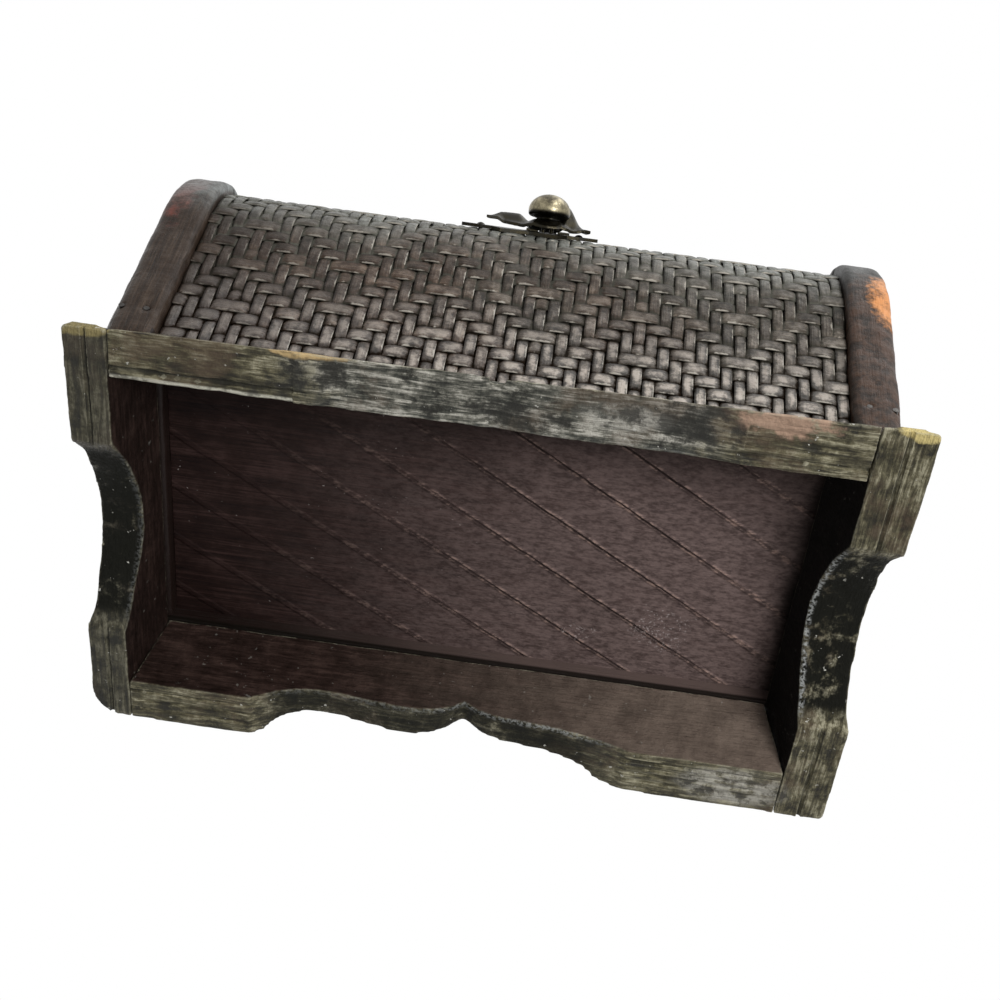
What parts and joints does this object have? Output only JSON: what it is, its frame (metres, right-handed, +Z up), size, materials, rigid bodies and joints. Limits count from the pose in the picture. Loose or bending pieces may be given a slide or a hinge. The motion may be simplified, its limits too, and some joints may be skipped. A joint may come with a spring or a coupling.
{
  "type": "trinket box",
  "caption": "Dome-topped keepsake chest with a woven strip cover, smooth D-shaped ends, hinged lid, hasp clasp with a ball knob, and a flared skirt with scalloped bracket feet.",
  "frame": {"origin": "middle of the footprint, on the plane that the feet rest on", "axes": "+Z up, +X along the length, -Y towards the front with the clasp, hinges at +Y"},
  "size_m": [0.211, 0.1414, 0.1349],
  "materials": {
    "skirt_wood": "aged, dull",
    "end_wood": "dark, waxed, worn edges",
    "inner_wood": "dark stain",
    "woven_strip": "dark lacquered strip",
    "clasp_brass": "antique, darkened",
    "hinge_brass": "antique, darkened",
    "nail_iron": "dark"
  },
  "bodies": {
    "body": {"skirt_front": "skirt_wood", "skirt_back": "skirt_wood", "skirt_left": "skirt_wood", "skirt_right": "skirt_wood", "floor_panel": "inner_wood", "front_wall": "inner_wood", "back_wall": "inner_wood", "front_weave": "woven_strip", "back_weave": "woven_strip", "end_board_left": "end_wood", "end_board_right": "end_wood", "rim_nails_left": "nail_iron", "rim_nails_right": "nail_iron", "hinge_left_body_leaf": "hinge_brass", "hinge_left_pin": "hinge_brass", "hinge_right_body_leaf": "hinge_brass", "hinge_right_pin": "hinge_brass", "hinge_nails_body": "hinge_brass", "clasp_body_plate": "clasp_brass", "clasp_staple": "clasp_brass", "clasp_nails_body": "clasp_brass"},
    "lid": {"lid_end_left": "end_wood", "lid_end_right": "end_wood", "lid_shell": "inner_wood", "lid_weave": "woven_strip", "hinge_left_lid_leaf": "hinge_brass", "hinge_right_lid_leaf": "hinge_brass", "hinge_nails_lid": "hinge_brass", "clasp_lid_plate": "clasp_brass", "clasp_pin": "clasp_brass", "clasp_nails_lid": "clasp_brass"},
    "hasp": {"clasp_hasp": "clasp_brass", "clasp_knob": "clasp_brass"}
  },
  "joints": [
    {"name": "lid_hinge", "type": "hinge", "parent": "body", "child": "lid", "pos_m": [0, 0.0424, 0.11445], "axis": [-1, 0, 0], "range_deg": [0, 105]},
    {"name": "hasp_hinge", "type": "hinge", "parent": "lid", "child": "hasp", "pos_m": [0.0045, -0.0367, 0.11792], "axis": [-1, 0, 0], "range_deg": [-3, 140]}
  ]
}
